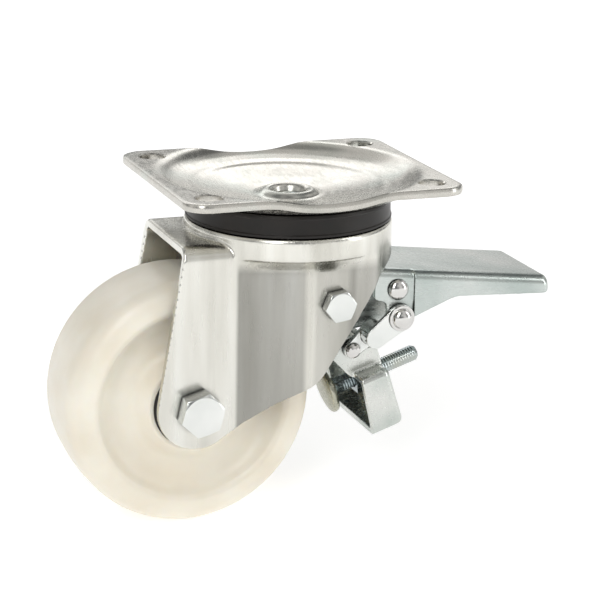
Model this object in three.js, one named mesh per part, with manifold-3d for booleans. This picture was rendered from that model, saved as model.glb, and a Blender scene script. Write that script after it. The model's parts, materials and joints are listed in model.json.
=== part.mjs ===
// A braked swivel caster: pressed steel top plate and fork, a nylon wheel on a roller bearing, and a
// foot pedal that swings a brake shoe with an adjusting screw against the tread. Millimetres, +Z up.
// The origin is on the swivel axis in the plane of the plate's top face; the wheel trails towards -X
// and the pedal points to +X.
import * as THREE from "three";
import { mergeVertices } from "three/addons/utils/BufferGeometryUtils.js";
import Module from "manifold-3d";

const wasm = await Module();
wasm.setup();

// ---- driving dimensions ----
const GAP = 0.3; // running gap between neighbouring pieces

const PLATE = { length: 100, width: 85, corner: 8, sheet: 3 };
const PLATE_HOLES = { x: 40, y: 32.5, radius: 4.6 };
const DISH = { wallTop: 46, floorEdge: 32, floorEdgeZ: -4.6, bossZ: -8.5, bossCrestZ: -6.6, holeRadius: 5.3 };

const HEAD = { radius: 36.7, top: -16, sheet: 3, shoulder: 1.4, holeRadius: 12 };
const ROOF = { z: -19.5, bend: 5 };
const LEG = { halfWidth: 24, flareStart: -24.5, padStart: -2, padEnd: 12.5, padHalfWidth: 31, blendEnd: -31 };
const AXLE = { x: -40.5, z: -77, radius: 5, eye: 14.3 };
const CLAMP = { x: 7, z: -41, radius: 3 }; // the two screws that hold the brake bracket to the fork

const WHEEL = { radius: 44.8, halfWidth: 18.8, edge: 6.2, crown: 0.6, bore: 10.8 };
const SEAL = { outer: 36.4, inner: 33.2, top: -7.9 };
const UPPER_RACE = { pitch: 26, ball: 3.175, count: 12, z: -12.5 };
const LOWER_RACE = { pitch: 17, ball: 2.38, count: 9, z: -21.7 };
const KING_PIN = { radius: 5, top: -8.8, shoulderZ: -26.9, bottom: -30 };

const PEDAL_PIVOT = { x: 34.8, z: -41.4, radius: 2.4 };
const LINK_PIVOT = { x: 35.7, z: -51.5 };
const SHOE_PIVOT = { x: 14.5, z: -61, radius: 2 };
const LINK_END = { x: 20, z: -64 };
const PEDAL = {
  start: 26,
  joggle: 41,
  end: 95,
  topAtStart: -33.4,
  slope: -0.1168,
  noseBottom: -47.4,
  halfWidth: 20,
  sheet: 2,
};

const EAR = { inner: 8, outer: 10.4 }; // distances of each sheet layer from the middle plane
const NECK = { inner: 10.7, outer: 12.7 };
const LINK_INNER = { inner: 13, outer: 14.8 };
const PEDAL_FLANGE = { inner: 16.9, outer: 19 };
const LINK_OUTER = { inner: 19.3, outer: 21.1 };

const SHOE = {
  originX: 14.35,
  originZ: -83.84,
  tiltDegrees: 18,
  sheet: 2.4,
  halfWidth: 20.2,
  back: 21.2, // distances along the screw and across it
  bottom: -15,
  top: 7.65,
  neckTop: 14.8,
};
const SHOE_TILT = THREE.MathUtils.degToRad(SHOE.tiltDegrees);
const LINK_RIVET = {
  radius: 2.6,
  from: PEDAL_FLANGE.inner,
  to: LINK_OUTER.outer,
  headRadius: 4.7,
  dome: 2.8,
  tail: 4,
};
const SHOE_RIVET = {
  radius: 1.2,
  hole: 1.7,
  from: NECK.inner + GAP,
  to: LINK_INNER.outer,
  headRadius: 2.9,
  dome: 1.4,
  tail: 0,
};
const SCREW = { radius: 3, length: 38.6, disc: 8.8, discThickness: 3.2 };

// ---- solids ----
function solid(geometry) {
  const bare = geometry.clone();
  bare.deleteAttribute("normal");
  bare.deleteAttribute("uv");
  const merged = mergeVertices(bare, 1e-4);
  const corners = merged.attributes.position.array;
  const triangles = new Uint32Array(merged.index.array);
  const body = new wasm.Manifold(new wasm.Mesh({ numProp: 3, vertProperties: corners, triVerts: triangles }));
  if (body.volume() > 0) return body;
  for (let i = 0; i < triangles.length; i += 3) {
    [triangles[i], triangles[i + 1]] = [triangles[i + 1], triangles[i]];
  }
  return new wasm.Manifold(new wasm.Mesh({ numProp: 3, vertProperties: corners, triVerts: triangles }));
}

function geometryOf(body) {
  const mesh = body.getMesh();
  const geometry = new THREE.BufferGeometry();
  geometry.setAttribute("position", new THREE.BufferAttribute(new Float32Array(mesh.vertProperties), 3));
  geometry.setIndex(new THREE.BufferAttribute(new Uint32Array(mesh.triVerts), 1));
  const faceted = geometry.toNonIndexed();
  faceted.computeVertexNormals();
  return faceted;
}

function joined(...bodies) {
  return bodies.reduce((whole, body) => whole.add(body));
}

// A closed profile of [radius, height] turned about the Z axis.
function turned(profile, segments = 24) {
  const points = profile.map(([r, z]) => new THREE.Vector2(r, z));
  if (profile[0][0] > 0) points.push(points[0].clone());
  return solid(new THREE.LatheGeometry(points, segments).rotateX(Math.PI / 2));
}

// The same profile turned about a line along Y through (x, z); its height runs towards +Y.
function turnedAcross(profile, { x, z }, segments = 24) {
  return turned(profile, segments).rotate([-90, 0, 0]).translate([x, 0, z]);
}

// A cutter for a hole along Y at one place, long enough to pass through every sheet.
function holeAcross(radius, place) {
  return turnedAcross(rod(radius, -60, 60), place, 16);
}

function tube(outer, inner, from, to) {
  return [[outer, from], [outer, to], [inner, to], [inner, from]];
}

function rod(radius, from, to) {
  return [[0, from], [radius, from], [radius, to], [0, to]];
}

// An outline in the X-Y plane, extruded from one height to another.
function slab(shape, from, to) {
  const settings = { depth: to - from, bevelEnabled: false, curveSegments: 4 };
  const geometry = new THREE.ExtrudeGeometry(shape, settings);
  return solid(geometry.translate(0, 0, from));
}

// An outline in the X-Z plane, extruded along Y from one side to the other.
function wall(shape, from, to) {
  const settings = { depth: to - from, bevelEnabled: false, curveSegments: 4 };
  const geometry = new THREE.ExtrudeGeometry(shape, settings);
  return solid(geometry.rotateX(Math.PI / 2).translate(0, to, 0));
}

function roundedRectangle(length, width, corner) {
  const shape = new THREE.Shape();
  const [x, y] = [length / 2, width / 2];
  shape.absarc(x - corner, y - corner, corner, 0, Math.PI / 2);
  shape.absarc(-x + corner, y - corner, corner, Math.PI / 2, Math.PI);
  shape.absarc(-x + corner, -y + corner, corner, Math.PI, 1.5 * Math.PI);
  shape.absarc(x - corner, -y + corner, corner, 1.5 * Math.PI, 2 * Math.PI);
  return shape;
}

// A closed outline through corners, each given as [x, z] or as [x, z, radius] to round it.
function outline(corners) {
  const shape = new THREE.Shape();
  corners.forEach(([x, z, radius = 0], i) => {
    const here = new THREE.Vector2(x, z);
    const toPrevious = new THREE.Vector2(...corners.at(i - 1).slice(0, 2)).sub(here);
    const toNext = new THREE.Vector2(...corners[(i + 1) % corners.length].slice(0, 2)).sub(here);
    const reach = Math.min(radius, toPrevious.length() * 0.48, toNext.length() * 0.48);
    const start = here.clone().add(toPrevious.setLength(reach));
    const end = here.clone().add(toNext.setLength(reach));
    if (i === 0) shape.moveTo(start.x, start.y);
    else shape.lineTo(start.x, start.y);
    if (radius > 0) shape.quadraticCurveTo(x, z, end.x, end.y);
  });
  return shape;
}

// A flat strip with two round ends.
function strip(a, b, radiusA, radiusB) {
  const direction = Math.atan2(b.z - a.z, b.x - a.x);
  const quarter = Math.PI / 2;
  const shape = new THREE.Shape();
  shape.absarc(a.x, a.z, radiusA, direction + quarter, direction + 3 * quarter);
  shape.absarc(b.x, b.z, radiusB, direction - quarter, direction + quarter);
  return shape;
}

// A body and its mirror image across the middle plane.
function bothSides(body) {
  return body.add(body.mirror([0, 1, 0]));
}

// A hexagon prism with a turned chamfer, along Y through (x, z).
function hexagon(acrossFlats, from, to, place) {
  const corner = acrossFlats / Math.sqrt(3);
  const chamfer = corner - acrossFlats / 2;
  const prism = turnedAcross(rod(corner, from, to), place, 6);
  const low = Math.min(from, to);
  const high = Math.max(from, to);
  const limit = [
    [0, low],
    [corner - chamfer, low],
    [corner + 0.1, low + chamfer / 2],
    [corner + 0.1, high - chamfer / 2],
    [corner - chamfer, high],
    [0, high],
  ];
  return prism.intersect(turnedAcross(limit, place, 18));
}

// ---- top plate, king pin and swivel races ----
function makeTopPlate() {
  const s = PLATE.sheet;
  const face = [
    [6, -10.2],
    [6.4, -8],
    [7.2, -6.9],
    [8.5, DISH.bossCrestZ],
    [9.7, -7.2],
    [10.6, DISH.bossZ],
    [20, -7.4],
    [28, -5.5],
    [DISH.floorEdge, DISH.floorEdgeZ],
    [35, -4.1],
    [38, -3],
    [41, -1.6],
    [43.5, -0.5],
    [DISH.wallTop, 0],
    [80, 0],
  ];
  const underside = [
    [80, -s],
    [45, -s],
    [41, -4.5],
    [36, -6.7],
    [DISH.floorEdge, DISH.floorEdgeZ - s],
    [28, -5.5 - s],
    [20, -7.4 - s],
    [DISH.holeRadius + 2, DISH.bossZ - s],
    [DISH.holeRadius, -12],
    [DISH.holeRadius, -10.2],
  ];
  const blank = turned([...face, ...underside], 36);
  const edge = slab(roundedRectangle(PLATE.length, PLATE.width, PLATE.corner), -20, 5);
  const hole = turned(rod(PLATE_HOLES.radius, -10, 5), 20);
  let plate = blank.intersect(edge);
  for (const x of [-PLATE_HOLES.x, PLATE_HOLES.x]) {
    for (const y of [-PLATE_HOLES.y, PLATE_HOLES.y]) plate = plate.subtract(hole.translate([x, y, 0]));
  }
  return plate;
}

function makeKingPin() {
  const { radius, top, shoulderZ, bottom } = KING_PIN;
  return turned([
    [0, top],
    [4.8, top],
    [5.7, top - 0.4],
    [5.7, -9.9],
    [radius, -9.9],
    [radius, shoulderZ],
    [9.5, shoulderZ],
    [9.5, bottom + 1.4],
    [8, bottom],
    [0, bottom],
  ]);
}

// A ring of balls held in a flat cage.
function makeBallRing({ pitch, ball, count, z }) {
  let ring = turned(tube(pitch + 2.2, pitch - 2.2, z - 0.7, z + 0.7), 24);
  const one = solid(new THREE.SphereGeometry(ball, 6, 4).rotateX(Math.PI / 2));
  for (let i = 0; i < count; i++) {
    const angle = (i / count) * 2 * Math.PI;
    ring = ring.add(one.translate([pitch * Math.cos(angle), pitch * Math.sin(angle), z]));
  }
  return ring;
}

function makeLowerRaceCup() {
  const floor = LOWER_RACE.z - LOWER_RACE.ball - GAP;
  return turned([
    [KING_PIN.radius + GAP, floor],
    [20, floor],
    [20.8, floor + 3],
    [23, floor + 3],
    [22, floor - 1.2],
    [20.8, floor - 2.2],
    [KING_PIN.radius + GAP, floor - 2.2],
  ], 32);
}

function makeDustSeal() {
  const { outer, inner, top } = SEAL;
  const bottom = HEAD.top + GAP;
  return turned([
    [outer, bottom],
    [outer, top - 0.6],
    [outer - 0.6, top],
    [inner, top],
    [inner, bottom],
  ], 40);
}

// ---- fork ----
// Half-width of the fork at x: flat legs, then a flared wall up to the clamp pads, then round the back.
// The blend is 0 at the round head and 1 where the pressed flats are full.
function forkHalfWidth(x, blend, inset) {
  const radius = HEAD.radius - inset;
  const round = Math.sqrt(Math.max(radius * radius - x * x, 0));
  const leg = LEG.halfWidth - inset;
  const pad = LEG.padHalfWidth - inset;
  const flare = leg + ((pad - leg) * (x - LEG.flareStart)) / (LEG.padStart - LEG.flareStart);
  const head = x < 0 ? Math.max(round, leg) : round;
  const pressed = x > LEG.padEnd ? Math.min(pad, round) : Math.max(leg, Math.min(pad, flare));
  return x < -radius * 0.7 ? leg : THREE.MathUtils.lerp(head, pressed, blend);
}

// The closed plan of the fork's outside, or of its inside when inset by the sheet.
function forkPlan(blend, inset, squeeze) {
  const radius = HEAD.radius - inset;
  const stations = [-60, -45, -34, -28, LEG.flareStart, -20, -15, -8.5, LEG.padStart, 4, LEG.padEnd];
  const near = stations.map((x) => [x, forkHalfWidth(x, blend, inset) - squeeze]);
  const start = Math.acos(LEG.padEnd / radius);
  for (let i = 1; i < 8; i++) {
    const x = radius * Math.cos(start * (1 - i / 8));
    near.push([x - squeeze, Math.max(forkHalfWidth(x, blend, inset) - squeeze, 0)]);
  }
  const far = near.map(([x, y]) => [x, -y]).reverse();
  return [...near, [radius - squeeze, 0], ...far];
}

// A solid through stacked plans, each given as { z, plan } from the bottom up.
function lofted(levels) {
  const count = levels[0].plan.length;
  const corners = [];
  const triangles = [];
  for (const { z, plan } of levels) {
    for (const [x, y] of plan) corners.push(x, y, z);
  }
  for (let level = 0; level + 1 < levels.length; level++) {
    for (let i = 0; i < count; i++) {
      const a = level * count + i;
      const b = level * count + ((i + 1) % count);
      triangles.push(a, a + count, b, b, a + count, b + count);
    }
  }
  const last = (levels.length - 1) * count;
  const cap = ({ plan }) => {
    return THREE.ShapeUtils.triangulateShape(plan.map(([x, y]) => new THREE.Vector2(x, y)), []);
  };
  for (const [a, b, c] of cap(levels[0])) triangles.push(c, b, a);
  for (const [a, b, c] of cap(levels.at(-1))) triangles.push(last + a, last + b, last + c);
  const geometry = new THREE.BufferGeometry();
  geometry.setAttribute("position", new THREE.BufferAttribute(new Float32Array(corners), 3));
  geometry.setIndex(triangles);
  return solid(geometry);
}

function forkLevels(inset) {
  const bend = Math.max(ROOF.bend - inset, 1.5);
  const top = ROOF.z - inset;
  const levels = [{ z: -100, plan: forkPlan(1, inset, 0) }];
  for (const blend of [1, 0.84, 0.5, 0.16, 0]) {
    const z = THREE.MathUtils.lerp(top - bend, LEG.blendEnd, blend);
    levels.push({ z, plan: forkPlan(blend, inset, 0) });
  }
  for (const turn of [30, 60, 90]) {
    const angle = THREE.MathUtils.degToRad(turn);
    const z = top - bend * (1 - Math.sin(angle));
    levels.push({ z, plan: forkPlan(0, inset, bend * (1 - Math.cos(angle))) });
  }
  return levels;
}

// The fork seen from the side: leg around the axle, lower edge rising to the back of the head.
function forkSide() {
  const { x, z, eye } = AXLE;
  const shape = new THREE.Shape();
  shape.moveTo(-45.2, ROOF.z);
  shape.lineTo(x - eye * 0.99, z + eye * 0.16);
  shape.absarc(x, z, eye, Math.PI * 0.95, Math.PI * 1.67);
  shape.lineTo(-1, -70);
  shape.quadraticCurveTo(1.5, -68.6, 3, -66);
  shape.lineTo(24, -33.5);
  shape.quadraticCurveTo(26, -30.5, 30, -29.5);
  shape.lineTo(45, -28.5);
  shape.lineTo(45, 0);
  shape.lineTo(-45.2, 0);
  shape.closePath();
  return shape;
}

function makeFork() {
  const { radius, top, sheet, shoulder, holeRadius } = HEAD;
  const drum = turned([
    [0, -24],
    [radius, -24],
    [radius, top - shoulder],
    [radius - shoulder * 0.13, top - shoulder * 0.5],
    [radius - shoulder * 0.5, top - shoulder * 0.13],
    [radius - shoulder, top],
    [0, top],
  ], 40);
  const hollow = turned([
    [0, -25],
    [radius - sheet, -25],
    [radius - sheet, top - sheet - 1],
    [radius - sheet - 1, top - sheet],
    [0, top - sheet],
  ], 40);
  const outside = lofted(forkLevels(0)).add(drum);
  const inside = lofted(forkLevels(sheet)).add(hollow);
  const axleHole = holeAcross(AXLE.radius + GAP, AXLE);
  const clampHole = holeAcross(CLAMP.radius + GAP, CLAMP);
  return outside
    .subtract(inside)
    .intersect(wall(forkSide(), -50, 50))
    .subtract(turned(rod(holeRadius, -30, 0), 32))
    .subtract(axleHole)
    .subtract(clampHole);
}

// ---- wheel, bearing and axle ----
function makeWheel() {
  const { radius, halfWidth, edge, crown, bore } = WHEEL;
  const half = [
    [bore, halfWidth],
    [16, halfWidth],
    [17.5, halfWidth - 1.6],
    [20.5, 13.5],
    [26, 12.6],
    [31, 14.4],
    [34.5, halfWidth - 0.9],
    [37, halfWidth],
  ];
  for (let i = 0; i <= 3; i++) {
    const angle = (i / 3) * (Math.PI / 2);
    const reach = radius - crown - edge + edge * Math.sin(angle);
    half.push([reach, halfWidth - edge + edge * Math.cos(angle)]);
  }
  half.push([radius - crown * 0.25, 7]);
  const other = half.map(([r, y]) => [r, -y]).reverse();
  return turnedAcross([...half, [radius, 0], ...other], AXLE, 32);
}

function makeRollerBearing() {
  const cage = turnedAcross(tube(9.9, 8.6, -16, 16), AXLE, 20);
  const pitch = 9.2;
  let bearing = cage;
  for (let i = 0; i < 10; i++) {
    const angle = (i / 10) * 2 * Math.PI;
    const place = { x: AXLE.x + pitch * Math.cos(angle), z: AXLE.z + pitch * Math.sin(angle) };
    bearing = bearing.add(turnedAcross(rod(1.3, -15, 15), place, 8));
  }
  return bearing;
}

function makeAxleBush() {
  return turnedAcross(tube(7.5, AXLE.radius + GAP, -20.6, 20.6), AXLE, 20);
}

// A black ring that closes the bearing on one side, +1 or -1.
function makeBearingCap(side) {
  const profile = [
    [7.9, 19.1],
    [14.6, 19.1],
    [14.6, 19.7],
    [13.4, 20.5],
    [7.9, 20.5],
  ];
  const body = turnedAcross(profile, AXLE, 24);
  return side > 0 ? body : body.mirror([0, 1, 0]);
}

function makeAxleBolt() {
  const face = LEG.halfWidth + GAP;
  const shank = turnedAcross(rod(AXLE.radius, -face, 35), AXLE, 20);
  return joined(hexagon(14, -face - 6.4, -face, AXLE), shank);
}

function makeAxleNut() {
  const face = LEG.halfWidth + GAP;
  const bore = turnedAcross(rod(AXLE.radius + GAP, 0, 60), AXLE, 20);
  return joined(
    turnedAcross(rod(8, face, face + 1.6), AXLE, 20),
    hexagon(14, face + 1.5, face + 8.5, AXLE),
  ).subtract(bore);
}

// ---- brake bracket ----
// A clamp screw through the fork's pad on one side, with its nut inside the bracket.
function makeClampScrew(side) {
  const head = LEG.padHalfWidth + GAP;
  const body = joined(
    hexagon(10, head, head + 4.2, CLAMP),
    turnedAcross(rod(3, 19.6, head + 0.5), CLAMP, 16),
  );
  return side > 0 ? body : body.mirror([0, 1, 0]);
}

function makeClampNut(side) {
  const bore = turnedAcross(rod(3 + GAP, 0, 60), CLAMP, 16);
  const body = hexagon(10, 20.2, 24.9, CLAMP).subtract(bore);
  return side > 0 ? body : body.mirror([0, 1, 0]);
}

function makeBrakeBracket() {
  const inside = LEG.padHalfWidth - HEAD.sheet - GAP;
  const flange = outline([[-1, -35, 3], [15.6, -35], [15.6, -48], [-1, -48, 3]]);
  const flanges = bothSides(wall(flange, inside - 2.4, inside));
  const web = wall(outline([[13.2, -34.5], [15.6, -34.5], [15.6, -50], [13.2, -50]]), -inside, inside);
  const arm = outline([
    [13.2, -36],
    [24, -37.5, 2],
    [34.5, -37.9, 2.6],
    [38.6, -40, 2.6],
    [38.6, -47, 3],
    [36, -56, 4],
    [21, -57.5, 2],
    [19, -60, 3],
    [17.6, -65.6, 3],
    [11, -65.6, 3],
    [9.8, -57, 3],
    [13.2, -49],
  ]);
  const arms = bothSides(wall(arm, EAR.inner, EAR.outer));
  const clampHole = holeAcross(CLAMP.radius + GAP, CLAMP);
  const pivotHole = holeAcross(PEDAL_PIVOT.radius + GAP, PEDAL_PIVOT);
  const shoeHole = holeAcross(SHOE_PIVOT.radius + GAP, SHOE_PIVOT);
  return joined(flanges, web, arms).subtract(clampHole).subtract(pivotHole).subtract(shoeHole);
}

// A through pin with a domed head at each end.
function makePin(place, reach, headRadius, dome) {
  const half = [
    [place.radius, reach],
    [headRadius, reach],
    [headRadius * 0.9, reach + dome * 0.5],
    [headRadius * 0.5, reach + dome * 0.92],
  ];
  const other = half.map(([r, y]) => [r, -y]).reverse();
  const profile = [[0, -reach - dome], ...other.map(([r, y]) => [r, y]), ...half, [0, reach + dome]];
  return turnedAcross(profile, place, 14);
}

// ---- pedal and links ----
function pedalTop(x) {
  return PEDAL.topAtStart + PEDAL.slope * (x - PEDAL.start);
}

function makePedal() {
  const { start, joggle, end, noseBottom, halfWidth, sheet } = PEDAL;
  const tread = wall(outline([
    [start, pedalTop(start)],
    [end, pedalTop(end), 1],
    [end, pedalTop(end) - sheet],
    [start, pedalTop(start) - sheet],
  ]), -halfWidth + 1, halfWidth - 1);
  const flange = outline([
    [start, pedalTop(start) - 0.4, 1],
    [joggle + 0.4, pedalTop(joggle) - 0.4],
    [joggle + 0.4, -52.4, 1],
    [31, -52.4],
    [31, -46, 3],
    [start, -45, 2],
  ]);
  const skirt = outline([
    [joggle, pedalTop(joggle) - 0.4],
    [end, pedalTop(end) - 0.4, 1.5],
    [end - 0.6, noseBottom - 0.2, 2],
    [57, -45.8, 6],
    [joggle, -52.2, 1],
  ]);
  const nose = wall(outline([
    [end - sheet, pedalTop(end) - 0.3],
    [end, pedalTop(end) - 0.3],
    [end - 0.3, noseBottom],
    [end - sheet, noseBottom],
  ]), -halfWidth + 1, halfWidth - 1);
  const { inner, outer } = PEDAL_FLANGE;
  const eye = turnedAcross(rod(5, inner, outer), LINK_PIVOT);
  const flanges = bothSides(wall(flange, inner, outer).add(eye));
  const skirts = bothSides(wall(skirt, halfWidth - sheet, halfWidth));
  const pivotHole = holeAcross(PEDAL_PIVOT.radius + GAP, PEDAL_PIVOT);
  const linkHole = holeAcross(LINK_RIVET.radius + GAP, LINK_PIVOT);
  return joined(tread, flanges, skirts, nose).subtract(pivotHole).subtract(linkHole);
}

// A rivet on one side through a pair of sheets, with a domed outer head.
function makeRivet(place, side, { radius, from, to, headRadius, dome, tail }) {
  const end = tail ? [[0, from - 1.2], [tail, from - 1.2], [tail, from - GAP]] : [[0, from - GAP]];
  const profile = [
    ...end,
    [radius, from - GAP],
    [radius, to + GAP],
    [headRadius, to + GAP],
    [headRadius * 0.93, to + GAP + dome * 0.45],
    [headRadius * 0.7, to + GAP + dome * 0.8],
    [headRadius * 0.35, to + GAP + dome * 0.97],
    [0, to + GAP + dome],
  ];
  const body = turnedAcross(profile, place, 16);
  return side > 0 ? body : body.mirror([0, 1, 0]);
}

// A link: a round eye outside the pedal's flange, joggled inwards to the eye on the brake shoe.
function makeLink(side) {
  const knee = { x: LINK_PIVOT.x - 8, z: LINK_PIVOT.z - 5.8 };
  const outer = wall(strip(LINK_PIVOT, knee, 4.9, 4), LINK_OUTER.inner, LINK_OUTER.outer);
  const inner = wall(strip(knee, LINK_END, 4, 3.1), LINK_INNER.inner, LINK_INNER.outer);
  const riserEnd = { x: knee.x - 1.1, z: knee.z - 0.9 };
  const riser = wall(strip(knee, riserEnd, 4, 4), LINK_INNER.inner, LINK_OUTER.outer);
  const rivetHole = holeAcross(LINK_RIVET.radius + GAP, LINK_PIVOT);
  const endHole = holeAcross(SHOE_RIVET.hole, LINK_END);
  const body = joined(outer, inner, riser).subtract(rivetHole).subtract(endHole);
  return side > 0 ? body : body.mirror([0, 1, 0]);
}

// ---- brake shoe and adjusting screw ----
// A place on the shoe: s along the screw away from the wheel, t at right angles to it, upwards.
function shoePoint(s, t) {
  return [
    SHOE.originX + s * Math.cos(SHOE_TILT) - t * Math.sin(SHOE_TILT),
    SHOE.originZ + s * Math.sin(SHOE_TILT) + t * Math.cos(SHOE_TILT),
  ];
}

function shoeOutline(corners) {
  return outline(corners.map(([s, t, radius]) => [...shoePoint(s, t), radius]));
}

// A piece turned about the screw's axis; its height runs away from the wheel.
function turnedOnScrew(profile, segments) {
  const upright = turned(profile, segments);
  return upright.rotate([0, 90 - SHOE.tiltDegrees, 0]).translate([SHOE.originX, 0, SHOE.originZ]);
}

function makeBrakeShoe() {
  const { sheet, halfWidth, back, bottom, top, neckTop } = SHOE;
  const front = 8.4;
  const within = back - 0.6; // side pieces end inside the rear sheet
  const plank = (s0, t0, s1, t1, from, to) => {
    return wall(shoeOutline([[s0, t0], [s1, t0], [s1, t1], [s0, t1]]), from, to);
  };
  const rear = plank(back - sheet, bottom, back, top, -halfWidth, halfWidth);
  const neckBack = plank(back - sheet, top - 1.3, back, neckTop, -NECK.outer, NECK.outer);
  const floor = plank(front + 0.2, bottom, within, bottom + sheet, -halfWidth, halfWidth);
  const cheek = shoeOutline([[front, bottom, 1], [back, bottom, 1], [back, top, 1], [front + 1.8, top, 1]]);
  const cheeks = bothSides(wall(cheek, halfWidth - sheet, halfWidth));
  const shelf = plank(front + 1.8, top - 2.2, within, top, NECK.inner, halfWidth - 0.6);
  const neck = outline([
    [...shoePoint(within, top - 2.6)],
    [...shoePoint(within, neckTop - 0.4), 1],
    [...shoePoint(back - 4, neckTop + 0.2), 1],
    [LINK_END.x + 2.4, LINK_END.z + 4.2, 3],
    [LINK_END.x - 3, LINK_END.z + 4.4, 3],
    [SHOE_PIVOT.x, SHOE_PIVOT.z + 4.8, 3],
    [SHOE_PIVOT.x - 4.6, SHOE_PIVOT.z + 4, 3],
    [SHOE_PIVOT.x - 4.2, SHOE_PIVOT.z - 3.4, 3],
    [...shoePoint(front + 0.6, top - 2), 3],
  ]);
  const necks = bothSides(wall(neck, NECK.inner, NECK.outer));
  const pivotHole = holeAcross(SHOE_PIVOT.radius + GAP, SHOE_PIVOT);
  const linkHole = holeAcross(SHOE_RIVET.hole, LINK_END);
  const screwHole = turnedOnScrew(rod(SCREW.radius + GAP, 5, 40), 16);
  return joined(rear, neckBack, floor, cheeks, bothSides(shelf), necks)
    .subtract(pivotHole)
    .subtract(linkHole)
    .subtract(screwHole);
}

function makeAdjustingScrew() {
  const { radius, length, disc, discThickness } = SCREW;
  return turnedOnScrew([
    [0, 0],
    [disc * 0.55, 0.25],
    [disc * 0.9, 0.9],
    [disc, 1.7],
    [disc * 0.96, discThickness],
    [radius + 1.6, discThickness + 0.2],
    [radius + 0.4, discThickness + 1.6],
    [radius, discThickness + 2.4],
    [radius, length - 0.8],
    [radius - 0.7, length],
    [0, length],
  ], 32);
}

function makeLockNut(from) {
  const corner = 10 / Math.sqrt(3);
  const body = turnedOnScrew(rod(corner, from, from + 5), 6);
  return body.subtract(turnedOnScrew(rod(SCREW.radius + GAP, 0, 40), 16));
}

// ---- materials ----
const FINISHES = {
  zinc: { color: 0xb4b3a9, roughness: 0.38, metalness: 0.9 },
  brightZinc: { color: 0xc6c8c2, roughness: 0.3, metalness: 0.95 },
  polishedSteel: { color: 0xd2d2ce, roughness: 0.18, metalness: 1 },
  darkSteel: { color: 0x8d918f, roughness: 0.4, metalness: 0.9 },
  nylon: { color: 0xe2dccf, roughness: 0.42, metalness: 0 },
  blackPlastic: { color: 0x26211e, roughness: 0.45, metalness: 0 },
};

function piece(name, finish, body) {
  const mesh = new THREE.Mesh(geometryOf(body), new THREE.MeshStandardMaterial(FINISHES[finish]));
  mesh.name = name;
  return mesh;
}

function group(...members) {
  const collection = new THREE.Group();
  collection.add(...members);
  return collection;
}

// ---- assembly ----
const plateGroup = group(
  piece("top_plate", "zinc", makeTopPlate()),
  piece("king_pin", "polishedSteel", makeKingPin()),
  piece("lower_race_cup", "zinc", makeLowerRaceCup()),
);

const forkGroup = group(
  piece("swivel_fork", "brightZinc", makeFork()),
  piece("dust_seal_ring", "blackPlastic", makeDustSeal()),
  piece("upper_ball_ring", "polishedSteel", makeBallRing(UPPER_RACE)),
  piece("lower_ball_ring", "polishedSteel", makeBallRing(LOWER_RACE)),
  piece("axle_bolt", "brightZinc", makeAxleBolt()),
  piece("axle_nut", "brightZinc", makeAxleNut()),
  piece("axle_bush", "darkSteel", makeAxleBush()),
  piece("brake_bracket", "zinc", makeBrakeBracket()),
  piece("bracket_screw_near", "brightZinc", makeClampScrew(-1)),
  piece("bracket_screw_far", "brightZinc", makeClampScrew(1)),
  piece("bracket_nut_near", "brightZinc", makeClampNut(-1)),
  piece("bracket_nut_far", "brightZinc", makeClampNut(1)),
  piece("pedal_pivot_pin", "polishedSteel", makePin(PEDAL_PIVOT, PEDAL_FLANGE.outer + 0.5, 3.8, 2.2)),
  piece("shoe_pivot_pin", "polishedSteel", makePin(SHOE_PIVOT, NECK.outer + GAP, 2.8, 1.2)),
);

const wheelGroup = group(
  piece("wheel", "nylon", makeWheel()),
  piece("roller_bearing", "darkSteel", makeRollerBearing()),
  piece("bearing_cap_near", "blackPlastic", makeBearingCap(-1)),
  piece("bearing_cap_far", "blackPlastic", makeBearingCap(1)),
);

const pedalGroup = group(
  piece("brake_pedal", "zinc", makePedal()),
  piece("link_rivet_near", "polishedSteel", makeRivet(LINK_PIVOT, -1, LINK_RIVET)),
  piece("link_rivet_far", "polishedSteel", makeRivet(LINK_PIVOT, 1, LINK_RIVET)),
);

const linkGroup = group(
  piece("link_near", "brightZinc", makeLink(-1)),
  piece("link_far", "brightZinc", makeLink(1)),
);

const shoeGroup = group(
  piece("brake_shoe", "zinc", makeBrakeShoe()),
  piece("shoe_rivet_near", "polishedSteel", makeRivet(LINK_END, -1, SHOE_RIVET)),
  piece("shoe_rivet_far", "polishedSteel", makeRivet(LINK_END, 1, SHOE_RIVET)),
  piece("lock_nut", "darkSteel", makeLockNut(12.1)),
);

const screwGroup = group(piece("adjusting_screw", "darkSteel", makeAdjustingScrew()));

const caster = group(plateGroup, forkGroup, wheelGroup, pedalGroup, linkGroup, shoeGroup, screwGroup);
export default caster;
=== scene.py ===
"""A braked swivel caster with a nylon wheel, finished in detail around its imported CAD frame."""

import json
import math

import bmesh
import bpy
import numpy as np
from mathutils import Matrix, Vector


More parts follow.
